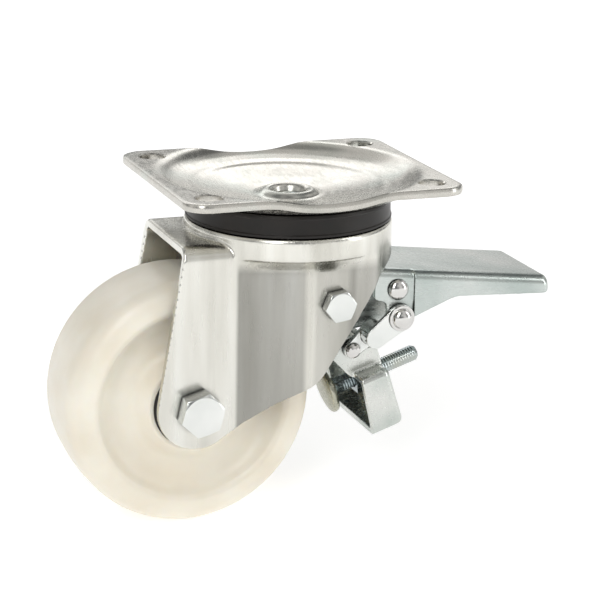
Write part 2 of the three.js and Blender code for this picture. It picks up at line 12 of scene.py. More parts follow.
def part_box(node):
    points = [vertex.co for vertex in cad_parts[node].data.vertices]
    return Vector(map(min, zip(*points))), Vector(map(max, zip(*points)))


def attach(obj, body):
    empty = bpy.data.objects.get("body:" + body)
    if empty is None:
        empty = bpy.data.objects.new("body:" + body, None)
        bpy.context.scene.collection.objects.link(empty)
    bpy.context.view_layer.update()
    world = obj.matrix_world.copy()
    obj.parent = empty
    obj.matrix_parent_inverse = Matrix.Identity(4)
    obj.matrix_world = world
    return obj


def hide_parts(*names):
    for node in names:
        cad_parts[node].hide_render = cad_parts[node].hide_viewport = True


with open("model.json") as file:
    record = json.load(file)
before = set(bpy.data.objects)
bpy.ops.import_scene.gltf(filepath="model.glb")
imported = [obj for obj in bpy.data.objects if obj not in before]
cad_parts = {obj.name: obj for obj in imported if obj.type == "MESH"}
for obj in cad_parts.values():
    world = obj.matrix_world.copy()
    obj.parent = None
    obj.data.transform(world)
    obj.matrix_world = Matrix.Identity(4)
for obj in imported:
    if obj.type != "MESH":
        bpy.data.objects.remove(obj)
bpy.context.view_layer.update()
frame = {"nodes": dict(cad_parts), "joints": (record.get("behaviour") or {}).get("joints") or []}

MM = 0.001
CENTRE = (0, 0, 0)
X_AXIS = (1, 0, 0)
Y_AXIS = (0, 1, 0)
Z_AXIS = (0, 0, 1)
QUARTER = math.pi / 2  # a quarter turn, in radians
SIDES = ((-1, "near"), (1, "far"))


# ---- places taken from the frame, in millimetres ----
def span(node):
    """Lowest corner, highest corner and centre of a CAD node, in millimetres."""
    low, high = (np.array(c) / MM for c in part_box(node))
    return low, high, (low + high) / 2


JOINTS = {joint["name"]: joint for joint in frame["joints"]}


def pivot(joint):
    return np.array(JOINTS[joint]["pos_m"]) / MM


AXLE = pivot("wheel_spin")
PEDAL_PIVOT = pivot("pedal_press")
LINK_PIVOT = pivot("link_turn")
SHOE_PIVOT = pivot("shoe_swing")
SCREW_AXIS = np.array(JOINTS["screw_adjust"]["axis"])
AXLE_CENTRE = (AXLE[0], 0, AXLE[2])
WHEEL_RADIUS = (span("wheel")[1][2] - span("wheel")[0][2]) / 2
FLOOR_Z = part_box("wheel")[0][2]


# ---- mesh building ----
def new_object(name, vertices, faces, smooth=True):
    mesh = bpy.data.meshes.new(name)
    mesh.from_pydata([Vector(v) * MM for v in vertices], [], faces)
    mesh.validate()
    piece = bpy.data.objects.new(name, mesh)
    bpy.context.scene.collection.objects.link(piece)
    outward(piece)
    if smooth:
        smooth_by_angle(piece)
    return piece


def outward(piece):
    work = bmesh.new()
    work.from_mesh(piece.data)
    bmesh.ops.remove_doubles(work, verts=work.verts, dist=1e-6)
    bmesh.ops.recalc_face_normals(work, faces=work.faces)
    if work.calc_volume(signed=True) < 0:
        bmesh.ops.reverse_faces(work, faces=work.faces)
    work.to_mesh(piece.data)
    work.free()


def smooth_by_angle(piece, degrees=32):
    work = bmesh.new()
    work.from_mesh(piece.data)
    limit = math.radians(degrees)
    for face in work.faces:
        face.smooth = True
    for edge in work.edges:
        edge.smooth = len(edge.link_faces) == 2 and edge.calc_face_angle(0) < limit
    work.to_mesh(piece.data)
    work.free()


def grid_faces(rows, columns, wrap_rows=False, wrap_columns=False):
    faces = []
    for i in range(rows if wrap_rows else rows - 1):
        for j in range(columns if wrap_columns else columns - 1):
            a = i * columns + j
            b = i * columns + (j + 1) % columns
            c = ((i + 1) % rows) * columns + (j + 1) % columns
            d = ((i + 1) % rows) * columns + j
            faces.append((a, b, c, d))
    return faces


def rounded_profile(corners, steps=5):
    """A polyline through (r, h) or (r, h, radius) corners, with each radius turned into a short arc."""
    points = []
    for i, corner in enumerate(corners):
        here = np.array(corner[:2], float)
        radius = corner[2] if len(corner) > 2 else 0
        if radius == 0 or i in (0, len(corners) - 1):
            points.append(here)
            continue
        before = np.array(corners[i - 1][:2], float) - here
        after = np.array(corners[i + 1][:2], float) - here
        reach = min(radius, np.linalg.norm(before) * 0.49, np.linalg.norm(after) * 0.49)
        start = here + before / np.linalg.norm(before) * reach
        end = here + after / np.linalg.norm(after) * reach
        for k in range(steps + 1):
            t = k / steps
            points.append((1 - t) ** 2 * start + 2 * t * (1 - t) * here + t**2 * end)
    return points


def lathe(name, corners, origin, axis, segments=96, steps=5):
    """A profile of (radius, height, rounding) corners turned about axis through origin.

    It starts and ends on the axis, or closes on itself.
    """
    open_ring = corners[0][0] > 0
    profile = rounded_profile(list(corners) + [corners[0]] if open_ring else corners, steps)
    if open_ring:
        profile = profile[:-1]
    axis = Vector(axis).normalized()
    turn = Vector(Z_AXIS).rotation_difference(axis).to_matrix()
    vertices = []
    for k in range(segments):
        angle = 2 * math.pi * k / segments
        for r, h in profile:
            local = Vector((r * math.cos(angle), r * math.sin(angle), h))
            vertices.append(turn @ local + Vector(origin))
    return new_object(name, vertices, grid_faces(segments, len(profile), True, open_ring))


def apply_modifiers(piece):
    depsgraph = bpy.context.evaluated_depsgraph_get()
    mesh = bpy.data.meshes.new_from_object(piece.evaluated_get(depsgraph))
    piece.modifiers.clear()
    piece.data = mesh


def cad_copy(node):
    """A loose copy of a CAD solid to cut pieces from, with its shared corners merged."""
    copy = bpy.data.objects.new(node + "_copy", frame["nodes"][node].data.copy())
    bpy.context.scene.collection.objects.link(copy)
    outward(copy)
    return copy


def boolean(piece, other, operation):
    modifier = piece.modifiers.new(operation.lower(), "BOOLEAN")
    modifier.operation = operation
    modifier.solver = "MANIFOLD"
    modifier.object = other
    apply_modifiers(piece)
    bpy.data.objects.remove(other)
    return piece


def cylinder(radius, origin, axis, length, segments=48):
    """A plain cutting cylinder centred on origin."""
    half = length / 2
    profile = [(0, -half), (radius, -half), (radius, half), (0, half)]
    return lathe("cutter", profile, origin, axis, segments)


# ---- materials ----
def new_material(name):
    material = bpy.data.materials.new(name)
    material.use_nodes = True
    nodes = material.node_tree.nodes
    return material, nodes, material.node_tree.links, nodes["Principled BSDF"]


def texture_space(nodes, links, scale):
    """Object coordinates stretched by scale, three factors along X, Y and Z, in waves per metre."""
    coordinates = nodes.new("ShaderNodeTexCoord")
    mapping = nodes.new("ShaderNodeMapping")
    mapping.inputs["Scale"].default_value = scale
    links.new(coordinates.outputs["Object"], mapping.inputs["Vector"])
    return mapping.outputs["Vector"]


def noise(nodes, links, vector, detail=3.0, roughness=0.5):
    texture = nodes.new("ShaderNodeTexNoise")
    texture.inputs["Scale"].default_value = 1.0
    texture.inputs["Detail"].default_value = detail
    texture.inputs["Roughness"].default_value = roughness
    links.new(vector, texture.inputs["Vector"])
    return texture.outputs["Fac"]


def ramp(nodes, links, value, stops):
    node = nodes.new("ShaderNodeValToRGB")
    elements = node.color_ramp.elements
    while len(elements) < len(stops):
        elements.new(0.5)
    for element, (position, colour) in zip(elements, stops):
        element.position = position
        element.color = (*colour, 1)
    links.new(value, node.inputs["Fac"])
    return node.outputs["Color"]


def grey_ramp(nodes, links, value, low, high):
    node = nodes.new("ShaderNodeMapRange")
    node.inputs["From Min"].default_value = 0.3
    node.inputs["From Max"].default_value = 0.7
    node.inputs["To Min"].default_value = low
    node.inputs["To Max"].default_value = high
    links.new(value, node.inputs["Value"])
    return node.outputs["Result"]


def bump(nodes, links, heights):
    """Bump of (value, strength, distance in mm) layers."""
    normal = None
    for value, strength, distance in heights:
        node = nodes.new("ShaderNodeBump")
        node.inputs["Strength"].default_value = strength
        node.inputs["Distance"].default_value = distance * MM
        links.new(value, node.inputs["Height"])
        if normal:
            links.new(normal, node.inputs["Normal"])
        normal = node.outputs["Normal"]
    return normal


def paint_crevice_shade(nodes, links, colour, reach_mm, dark):
    """Darkens a colour by ambient occlusion inside holes and corners: painted shade."""
    occlusion = nodes.new("ShaderNodeAmbientOcclusion")
    occlusion.samples = 8
    occlusion.inputs["Distance"].default_value = reach_mm * MM
    mix = nodes.new("ShaderNodeMix")
    mix.data_type = "RGBA"
    links.new(grey_ramp(nodes, links, occlusion.outputs["AO"], 0.0, 1.0), mix.inputs["Factor"])
    mix.inputs["A"].default_value = (*dark, 1)
    links.new(colour, mix.inputs["B"])
    return mix.outputs["Result"]


def paint_reflection_bands(nodes, links, colour, bands, below_mm):
    """Scales a colour by factors at places along X, on the pressed sides below one height: painted
    reflections.
    """
    coordinates = nodes.new("ShaderNodeTexCoord")
    split = nodes.new("ShaderNodeSeparateXYZ")
    links.new(coordinates.outputs["Object"], split.inputs["Vector"])
    across = nodes.new("ShaderNodeMapRange")
    low, high = bands[0][0], bands[-1][0]
    across.inputs["From Min"].default_value = low * MM
    across.inputs["From Max"].default_value = high * MM
    links.new(split.outputs["X"], across.inputs["Value"])
    stops = [((x - low) / (high - low), (f, f, f)) for x, f in bands]
    depth = nodes.new("ShaderNodeMapRange")
    depth.inputs["From Min"].default_value = below_mm * MM
    depth.inputs["From Max"].default_value = (below_mm - 4) * MM
    links.new(split.outputs["Z"], depth.inputs["Value"])
    mix = nodes.new("ShaderNodeMix")
    mix.data_type = "RGBA"
    mix.blend_type = "MULTIPLY"
    links.new(depth.outputs["Result"], mix.inputs["Factor"])
    links.new(colour, mix.inputs["A"])
    links.new(ramp(nodes, links, across.outputs["Result"], stops), mix.inputs["B"])
    return mix.outputs["Result"]


STREAK_WAVES = 700  # waves per metre across the drawing streaks
GRAIN_WAVES = (2600, 2600, 2600)
# Reach and darkness of the painted shade in holes and corners.
CREVICE_SHADE_REACH_MM = 5.0
CREVICE_SHADE_DARKNESS = 0.22
REFLECTION_BANDS_BELOW_MM = -25.5


def zinc_material(name, tints, roughness, stretch=(1, 1, 1), patch=(42, 42, 42), spread=0.05, fine=1.0,
                  bands=None):
    """Zinc plated steel: soft blotches of tint, fine drawing streaks, a slightly uneven gloss, and painted
    shade in holes and corners.

    stretch and patch set the streaks' and blotches' waves along X, Y and Z, and fine scales the relief.
    """
    material, nodes, links, shader = new_material(name)
    blotch = noise(nodes, links, texture_space(nodes, links, patch))
    drawn = texture_space(nodes, links, tuple(STREAK_WAVES * s for s in stretch))
    streak = noise(nodes, links, drawn)
    grain = noise(nodes, links, texture_space(nodes, links, GRAIN_WAVES), detail=2.0)
    places = np.linspace(0.32, 0.68, len(tints))
    colour = ramp(nodes, links, blotch, list(zip(places, tints)))
    # Painted reflections: bands of brighter and darker colour along X on the fork's sides.
    if bands:
        colour = paint_reflection_bands(nodes, links, colour, bands, REFLECTION_BANDS_BELOW_MM)
    # Painted shade: the colour darkens where ambient occlusion finds holes and corners.
    shade = tuple(CREVICE_SHADE_DARKNESS * c for c in tints[0])
    links.new(paint_crevice_shade(nodes, links, colour, CREVICE_SHADE_REACH_MM, shade), shader.inputs["Base Color"])
    shader.inputs["Metallic"].default_value = 1.0
    gloss = grey_ramp(nodes, links, streak, roughness - spread, roughness + spread)
    links.new(gloss, shader.inputs["Roughness"])
    layers = [(streak, 0.05 * fine, 0.01), (grain, 0.03 * fine, 0.004), (blotch, 0.1 * fine, 0.2)]
    links.new(bump(nodes, links, layers), shader.inputs["Normal"])
    return material


def nylon_material():
    """Natural nylon: ivory, slightly translucent, with faint flow clouding from the mould."""
    material, nodes, links, shader = new_material("nylon")
    cloud = noise(nodes, links, texture_space(nodes, links, (45, 45, 45)), detail=4.0)
    fine = noise(nodes, links, texture_space(nodes, links, (1500, 1500, 1500)))
    tone = ramp(nodes, links, cloud, [(0.3, (0.74, 0.68, 0.565)), (0.7, (0.82, 0.785, 0.69))])
    links.new(tone, shader.inputs["Base Color"])
    gloss = grey_ramp(nodes, links, fine, 0.3, 0.42)
    links.new(gloss, shader.inputs["Roughness"])
    shader.inputs["Subsurface Weight"].default_value = 0.35
    shader.inputs["Subsurface Radius"].default_value = (0.006, 0.0045, 0.003)
    shader.inputs["IOR"].default_value = 1.53
    links.new(bump(nodes, links, [(fine, 0.08, 0.02), (cloud, 0.15, 0.2)]), shader.inputs["Normal"])
    return material


def plastic_material(name, light, dark, roughness):
    """Black moulded plastic with a fine grain and worn, dusty patches."""
    material, nodes, links, shader = new_material(name)
    cloud = noise(nodes, links, texture_space(nodes, links, (90, 90, 90)))
    grain = noise(nodes, links, texture_space(nodes, links, (2200, 2200, 2200)), detail=2.0)
    links.new(ramp(nodes, links, cloud, [(0.35, dark), (0.7, light)]), shader.inputs["Base Color"])
    gloss = grey_ramp(nodes, links, cloud, roughness - 0.08, roughness + 0.08)
    links.new(gloss, shader.inputs["Roughness"])
    shader.inputs["Specular IOR Level"].default_value = 0.3
    links.new(bump(nodes, links, [(grain, 0.2, 0.02)]), shader.inputs["Normal"])
    return material


# Brightness factors at places along X. They stand in for what the pressed sides reflect: a bright leg,
# a dark flare, a bright crease, and a darker flat that carries the bracket's screw.
FORK_PAINTED_REFLECTIONS = [
    (-30, 1.0), (-27.4, 1.0), (-26.2, 0.5), (-14, 0.52), (-5, 0.6), (-3.4, 0.95), (-1.6, 1.0),
    (0, 0.8), (10.5, 0.72), (12.8, 0.5), (14.5, 0.62), (22, 0.58),
]

PLATE_TINTS = [(0.46, 0.46, 0.42), (0.56, 0.54, 0.50), (0.53, 0.55, 0.51)]
FORK_TINTS = [(0.56, 0.55, 0.50), (0.68, 0.67, 0.62), (0.78, 0.78, 0.74)]
PEDAL_TINTS = [(0.42, 0.47, 0.45), (0.52, 0.56, 0.54), (0.60, 0.62, 0.60)]
SHOE_TINTS = [(0.46, 0.50, 0.47), (0.60, 0.62, 0.59), (0.70, 0.70, 0.67)]
BRIGHT_TINTS = [(0.64, 0.66, 0.64), (0.80, 0.81, 0.79)]
POLISHED_TINTS = [(0.56, 0.55, 0.54), (0.70, 0.69, 0.67)]
DARK_TINTS = [(0.26, 0.32, 0.34), (0.42, 0.47, 0.48), (0.40, 0.40, 0.34)]
OLIVE_TINTS = [(0.36, 0.36, 0.29), (0.47, 0.46, 0.38)]
ALONG_LEG = (1, 1, 0.1)

MATERIALS = {
    "plate": zinc_material("plate_zinc", PLATE_TINTS, 0.26, (1, 0.35, 1), fine=0.6),
    "fork": zinc_material("fork_zinc", FORK_TINTS, 0.24, ALONG_LEG, patch=(75, 40, 9), bands=FORK_PAINTED_REFLECTIONS),
    "pedal": zinc_material("pedal_zinc", PEDAL_TINTS, 0.26, (0.2, 1, 1)),
    "shoe": zinc_material("shoe_zinc", SHOE_TINTS, 0.25, fine=0.6),
    "bright": zinc_material("bright_zinc", BRIGHT_TINTS, 0.2, fine=0.6),
    "polished": zinc_material("polished_steel", POLISHED_TINTS, 0.16, spread=0.04, fine=0.3),
    "dark": zinc_material("dark_steel", DARK_TINTS, 0.25, fine=0.6),
    "olive": zinc_material("olive_steel", OLIVE_TINTS, 0.28, fine=0.6),
    "nylon": nylon_material(),
    "black": plastic_material("black_plastic", (0.014, 0.011, 0.009), (0.007, 0.006, 0.005), 0.4),
}


def finish(piece, material, slot, body, *nodes):
    """Gives a new piece its material and its body, and hides the CAD nodes that it stands for."""
    piece.data.materials.clear()
    piece.data.materials.append(MATERIALS[material])
    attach(piece, body)
    if nodes:
        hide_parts(*nodes)
    return piece


def repaint(node, material):
    """Better material on a CAD node that stays."""
    for slot in frame["nodes"][node].material_slots:
        slot.material = MATERIALS[material]


CAD_FINISH = {
    "top_plate": "plate",
    "king_pin": "polished",
    "lower_race_cup": "plate",
    "swivel_fork": "fork",
    "dust_seal_ring": "black",
    "upper_ball_ring": "polished",
    "lower_ball_ring": "polished",
    "axle_bolt": "bright",
    "axle_nut": "bright",
    "axle_bush": "dark",
    "brake_bracket": "pedal",
    "bracket_screw_near": "bright",
    "bracket_screw_far": "bright",
    "bracket_nut_near": "bright",
    "bracket_nut_far": "bright",
    "pedal_pivot_pin": "polished",
    "shoe_pivot_pin": "polished",
    "wheel": "nylon",
    "roller_bearing": "dark",
    "bearing_cap_near": "black",
    "bearing_cap_far": "black",
    "brake_pedal": "pedal",
    "link_rivet_near": "polished",
    "link_rivet_far": "polished",
    "link_near": "bright",
    "link_far": "bright",
    "brake_shoe": "shoe",
    "shoe_rivet_near": "polished",
    "shoe_rivet_far": "polished",
    "lock_nut": "dark",
    "adjusting_screw": "dark",
}
for node_name, finish_name in CAD_FINISH.items():
    repaint(node_name, finish_name)


# ---- top plate and swivel parts ----
_, PLATE_HIGH, _ = span("top_plate")
PLATE_SHEET = 3.0
PLATE_CORNER = 8.0
PLATE_HOLE = {"x": 40.0, "y": 32.5, "radius": 4.6}
# The plate's top face from the king pin's collar outwards: radius and height.
DISH = [
    (5.7, -9.9), (5.9, -8.0), (6.6, -6.95), (8.2, -6.6), (9.6, -7.2), (10.6, -8.3), (12.5, -8.5),
    (20, -7.5), (28, -5.9), (31.6, -5.25), (32.6, -4.75), (36, -4.3), (40, -3.3), (42.5, -2.2),
    (44.4, -1.0), (45.8, -0.3), (47.5, 0), (90, 0),
]
DISH_RADII, DISH_HEIGHTS = zip(*DISH)


def dish_height(radius):
    """Height of the plate's top face, with the knots of its section softly rounded."""
    steps = np.linspace(-0.45, 0.45, 7)
    return np.mean([np.interp(radius + s, DISH_RADII, DISH_HEIGHTS) for s in steps], axis=0)


def plate_reach(angle):
    """Distance from the swivel axis to the edge of the rounded rectangle in one direction."""
    half = np.array([PLATE_HIGH[0], PLATE_HIGH[1]])
    low, high = 30.0, 80.0
    direction = np.array([math.cos(angle), math.sin(angle)])
    for _ in range(30):
        middle = (low + high) / 2
        beyond = np.abs(direction * middle) - (half - PLATE_CORNER)
        distance = np.linalg.norm(np.maximum(beyond, 0)) + min(max(beyond), 0) - PLATE_CORNER
        low, high = (middle, high) if distance < 0 else (low, middle)
    return low


def make_top_plate():
    inner = np.concatenate([np.linspace(5.7, 13, 20), np.linspace(14, 31, 12)])
    outer = np.linspace(0, 1, 26)[1:]
    turns = 360
    vertices = []
    for k in range(turns):
        angle = 2 * math.pi * k / turns
        reach = plate_reach(angle)
        radii = np.concatenate([inner, 31 + (reach - 0.9 - 31) * outer])
        top = [(r, dish_height(r)) for r in radii]
        edge = dish_height(reach - 0.9)
        rim = [(reach - 0.3, edge - 0.25), (reach, edge - 0.9)]
        rim += [(reach, edge - PLATE_SHEET + 0.7), (reach - 0.25, edge - PLATE_SHEET + 0.2)]
        bottom = [(r, dish_height(r) - PLATE_SHEET) for r in radii[::-1] if r > 12]
        bore = [(5.6, -12.0), (5.3, -11.6), (5.3, -10.2), (5.4, -9.6)]
        for r, z in top + rim + bottom + bore:
            vertices.append((r * math.cos(angle), r * math.sin(angle), z))
    columns = len(vertices) // turns
    plate = new_object("top_plate_skin", vertices, grid_faces(turns, columns, True, True))
    for x in (-PLATE_HOLE["x"], PLATE_HOLE["x"]):
        for y in (-PLATE_HOLE["y"], PLATE_HOLE["y"]):
            r = PLATE_HOLE["radius"]
            profile = [(0, -9), (r, -9), (r, -0.5), (r + 0.5, 0), (r + 0.5, 3), (0, 3)]
            boolean(plate, lathe("cutter", profile, (x, y, 0), Z_AXIS, 48), "DIFFERENCE")
    smooth_by_angle(plate, 40)
    finish(plate, "plate", "zinc_plate", "plate", "top_plate")


def make_king_pin():
    low, high, _ = span("king_pin")
    top, bottom = high[2], low[2]
    rivet = [(0, top - 0.5), (1.6, top - 0.45, 0.5), (2.4, top, 0.6), (5.0, top, 0.5), (5.7, top - 0.6, 0.3)]
    shank = [(5.7, -9.9), (5.0, -9.9), (5.0, bottom + 3.1)]
    foot = [(9.5, bottom + 3.1, 0.4), (9.5, bottom + 1.4, 0.6), (8, bottom, 0.6), (0, bottom)]
    profile = rivet + shank + foot
    pin = lathe("king_pin_turned", profile[::-1], CENTRE, Z_AXIS, 72)
    finish(pin, "dark", "polished_steel", "plate", "king_pin")


def make_dust_seal():
    low, high, _ = span("dust_seal_ring")
    outer, bottom, top = high[0], low[2], high[2]
    inner = outer - 3.2
    foot = [(inner, bottom), (outer - 0.1, bottom, 0.2), (outer, bottom + 0.9, 0.2)]
    wall = [(outer - 0.35, bottom + 1.1, 0.2), (outer - 0.5, top - 1.6, 0.4), (outer - 0.2, top - 1.2, 0.2)]
    lip = [(outer - 0.5, top, 0.4), (inner, top, 0.3)]
    ring = lathe("dust_seal_turned", foot + wall + lip, CENTRE, Z_AXIS, 144)
    finish(ring, "black", "black_plastic", "fork", "dust_seal_ring")


# ---- fork ----
HEAD_RADIUS = 36.7
HEAD_TOP = -16.0
FORK_SHEET = 3.0
ROOF_TOP = -19.5
LEG_HALF = 24.0  # half the width over the legs
PAD_HALF = 31.0  # half the width over the flats behind the flare
FLARE = (-24.5, -2.0, 12.5)  # X where the flare starts, where it ends and where the flat ends
FORK_ROUND_END = -21.5  # heights between which the flat sides turn into the round head
FORK_FLAT_START = -30.0


def fork_flats(x):
    """Half-width of the pressed sides at x, with the flare's ends slightly rounded."""
    steps = np.linspace(-1.1, 1.1, 7)
    knots = (-80, FLARE[0], FLARE[1], 80)
    halves = (LEG_HALF, LEG_HALF, PAD_HALF, PAD_HALF)
    return float(np.mean([np.interp(x + s, knots, halves) for s in steps]))


def fork_half(x, blend, inset):
    """Half-width of the fork at x, from the round head at blend 0 to the pressed flats at blend 1."""
    radius = HEAD_RADIUS - inset
    circle = math.sqrt(max(radius * radius - x * x, 0))
    leg = LEG_HALF - inset
    if x < -radius * 0.8:
        return leg
    flats = fork_flats(x) - inset
    if x > FLARE[2]:
        lean = 0.12 * (x - FLARE[2])
        flats = min(flats - lean, circle)
        return circle + (flats - circle) * blend
    return max(circle, leg) + (flats - max(circle, leg)) * blend


def fork_plan(blend, inset, squeeze):
    """The fork's outline from above at one height, moved inwards by squeeze over the roof's bend."""
    radius = HEAD_RADIUS - inset
    stations = np.concatenate([np.linspace(-62, -36, 8), np.linspace(-35, FLARE[2], 66)])
    near = [(x, fork_half(x, blend, inset) - squeeze) for x in stations]
    start = math.acos(FLARE[2] / radius)
    for k in range(1, 30):
        x = radius * math.cos(start * (1 - k / 30))
        near.append((x - squeeze, max(fork_half(x, blend, inset) - squeeze, 0.02 * (30 - k))))
    return near + [(radius - squeeze, 0)] + [(x, -y) for x, y in near[::-1]]


def flat_share(z):
    """1 where the sides are flat, 0 where the head is round, and a smooth step between."""
    s = np.clip((z - FORK_FLAT_START) / (FORK_ROUND_END - FORK_FLAT_START), 0, 1)
    return 1 - s * s * (3 - 2 * s)


def fork_body(name, inset):
    """The fork as a full block, with its skin moved inwards by inset."""
    bend = max(5 - inset, 1.5)
    top = ROOF_TOP - inset
    levels = [(z, 1.0, 0.0) for z in np.linspace(-100, FORK_FLAT_START - 1, 14)]
    for k in range(13):
        z = FORK_FLAT_START + (top - bend - FORK_FLAT_START) * k / 12
        levels.append((z, flat_share(z), 0.0))
    for k in range(1, 9):
        angle = k / 8 * QUARTER
        z = top - bend * (1 - math.sin(angle))
        levels.append((z, flat_share(z), bend * (1 - math.cos(angle))))
    vertices = []
    for z, blend, squeeze in levels:
        vertices += [(x, y, z) for x, y in fork_plan(blend, inset, squeeze)]
    count = len(vertices) // len(levels)
    faces = grid_faces(len(levels), count, False, True)
    faces.append(tuple(range(count)))
    faces.append(tuple(range((len(levels) - 1) * count, len(levels) * count))[::-1])
    return new_object(name, vertices, faces)


def arc(centre, radius, start, end, count):
    angles = np.radians(np.linspace(start, end, count))
    return [(centre[0] + radius * math.cos(a), centre[1] + radius * math.sin(a)) for a in angles]


LEG_FRONT = -45.2
LEG_END_RADIUS = 14.3
SIDE_END = 45


def fork_side():
    """The fork from the side: down the leg's front, round the axle, and up the slanted back edge."""
    outline = [(LEG_FRONT, 0), (LEG_FRONT, ROOF_TOP)]
    outline += arc((AXLE[0], AXLE[2]), LEG_END_RADIUS, 171, 298, 40)
    back_edge = [(-14, -76.9), (1.5, -69.2, 4), (24.6, -32.6, 5), (31, -29.6, 4), (SIDE_END, -28.6)]
    outline += rounded_profile(back_edge, 8)
    outline.append((SIDE_END, 0))
    return outline


def prism(name, outline, near, far):
    """An outline in the X-Z plane drawn out between two distances along Y."""
    count = len(outline)
    vertices = [(x, near, z) for x, z in outline] + [(x, far, z) for x, z in outline]
    faces = grid_faces(2, count, False, True)
    faces.append(tuple(range(count)))
    faces.append(tuple(range(count, 2 * count))[::-1])
    return new_object(name, vertices, faces, smooth=False)


def soften(piece, voxel, rounds, ratio=1.0):
    """Even remesh and relax: the soft edges and inside corners that pressing leaves in sheet metal."""
    remesh = piece.modifiers.new("even", "REMESH")
    remesh.mode = "VOXEL"
    remesh.voxel_size = voxel * MM
    relax = piece.modifiers.new("relax", "SMOOTH")
    relax.factor = 0.5
    relax.iterations = rounds
    if ratio < 1:
        thin = piece.modifiers.new("thin", "DECIMATE")
        thin.ratio = ratio
    apply_modifiers(piece)
    smooth_by_angle(piece, 80)
    return piece


def drum(name, radius, top, bottom, segments, steps):
    profile = [(0, bottom), (radius, bottom), (radius, top, 1.5), (0, top)]
    return lathe(name, profile, CENTRE, Z_AXIS, segments, steps)


def make_fork():
    """One pressing: a round head over two flared legs, hollow inside, with its holes."""
    inside_radius, inside_top = HEAD_RADIUS - FORK_SHEET, HEAD_TOP - FORK_SHEET
    head = drum("head", HEAD_RADIUS, HEAD_TOP, -24, 160, 10)
    hollow = drum("hollow", inside_radius, inside_top, -25, 120, 5)
    fork = fork_body("swivel_fork_skin", 0)
    boolean(fork, head, "UNION")
    boolean(fork, fork_body("inside", FORK_SHEET), "DIFFERENCE")
    boolean(fork, hollow, "DIFFERENCE")
    boolean(fork, prism("side", fork_side(), -60, 60), "INTERSECT")
    boolean(fork, cylinder(12, (0, 0, -18), Z_AXIS, 16), "DIFFERENCE")
    boolean(fork, cylinder(5.3, AXLE_CENTRE, Y_AXIS, 90), "DIFFERENCE")
    screw = span("bracket_screw_near")[2]
    boolean(fork, cylinder(3.3, (screw[0], 0, screw[2]), Y_AXIS, 90), "DIFFERENCE")
    soften(fork, 0.45, 10, 0.6)
    finish(fork, "fork", "bright_zinc", "fork", "swivel_fork")


# ---- wheel, axle and fasteners ----
def make_wheel():
    """Moulded nylon: a slightly crowned tread with full shoulders, and a dished side around the hub."""
    side = span("wheel")[1][1]
    shoulder, crown, bore = 7.8, 0.6, 10.8
    centre = (WHEEL_RADIUS - crown - shoulder, side - shoulder)
    hub = [(bore, side), (16, side, 0.8), (17.4, side - 1.6, 1.5)]
    dish = [(20.5, side - 5.3, 3), (26, side - 6.2, 3), (31, side - 4.2, 3)]
    rim = [(33.6, side - 0.8, 1.4), (35.2, side, 0.8)]
    half = hub + dish + rim + arc(centre, shoulder, 90, 6, 14)
    other = [(r, -y, *rest) for r, y, *rest in half[::-1]]
    profile = half + [(WHEEL_RADIUS, 0, 6)] + other
    wheel = lathe("wheel_moulded", profile, AXLE_CENTRE, Y_AXIS, 160, 8)
    finish(wheel, "nylon", "nylon", "wheel", "wheel")


def make_bearing_cap(side, node):
    inner, outer, seat, face = 7.9, 14.6, 19.1, 20.5
    profile = [(inner, seat), (outer, seat, 0.2), (outer, 19.8, 0.3), (13.2, face, 0.3), (9.6, face, 0.2),
               (9.2, 20.1, 0.2), (inner, 20.1)]
    cap = lathe(node + "_turned", profile, AXLE_CENTRE, (0, side, 0), 80)
    finish(cap, "black", "black_plastic", "wheel", node)


def hexagon(name, across, start, end, origin, axis, turn=0.0):
    """A hexagon with its corners turned down at the far end, and softly broken edges."""
    corner = across / math.sqrt(3)
    flat = lathe(name, [(0, start), (corner, start), (corner, end), (0, end)], CENTRE, Z_AXIS, 6)
    drop = (corner - across / 2) * 0.62
    face = across / 2 * 0.96
    clear = corner + 1
    limit = [(0, start - 1), (clear, start - 1), (clear, end - drop - 0.36), (face, end, 0.25), (0, end)]
    boolean(flat, lathe("limit", limit, CENTRE, Z_AXIS, 96), "INTERSECT")
    facing = Vector(Z_AXIS).rotation_difference(Vector(axis).normalized()).to_matrix().to_4x4()
    flat.data.transform(Matrix.Rotation(turn, 4, "Z"))
    flat.data.transform(Matrix.Translation(Vector(origin) * MM) @ facing)
    edges = flat.modifiers.new("edges", "BEVEL")
    edges.width = 0.18 * MM
    edges.segments = 2
    edges.limit_method = "ANGLE"
    edges.angle_limit = math.radians(40)
    apply_modifiers(flat)
    smooth_by_angle(flat, 35)
    return flat


M10 = {"radius": 5.0, "clearance": 5.3, "across": 14, "washer": 8}
M6 = {"radius": 3.0, "across": 10}


def make_axle():
    """The axle bolt with its head on the near leg, and the washer and nut on the far one."""
    radius, washer_end = M10["radius"], 25.9
    head = hexagon("axle_bolt_finished", M10["across"], 24.3, 30.7, AXLE_CENTRE, (0, -1, 0), turn=0.28)
    profile = [(0, -24.4), (radius, -24.4), (radius, 34.2), (radius - 0.7, 35, 0.2), (0, 35)]
    shank = lathe("shank", profile, AXLE_CENTRE, Y_AXIS, 48)
    finish(boolean(head, shank, "UNION"), "bright", "bright_zinc", "fork", "axle_bolt")
    nut = hexagon("axle_nut_finished", M10["across"], 25.8, 32.8, AXLE_CENTRE, Y_AXIS)
    rim = M10["washer"]
    disc = [(0, 24.3), (rim, 24.3, 0.2), (rim, washer_end, 0.3), (0, washer_end)]
    boolean(nut, lathe("washer", disc, AXLE_CENTRE, Y_AXIS, 64), "UNION")
    boolean(nut, cylinder(M10["clearance"], (AXLE[0], 28, AXLE[2]), Y_AXIS, 20), "DIFFERENCE")
    finish(nut, "bright", "bright_zinc", "fork", "axle_nut")


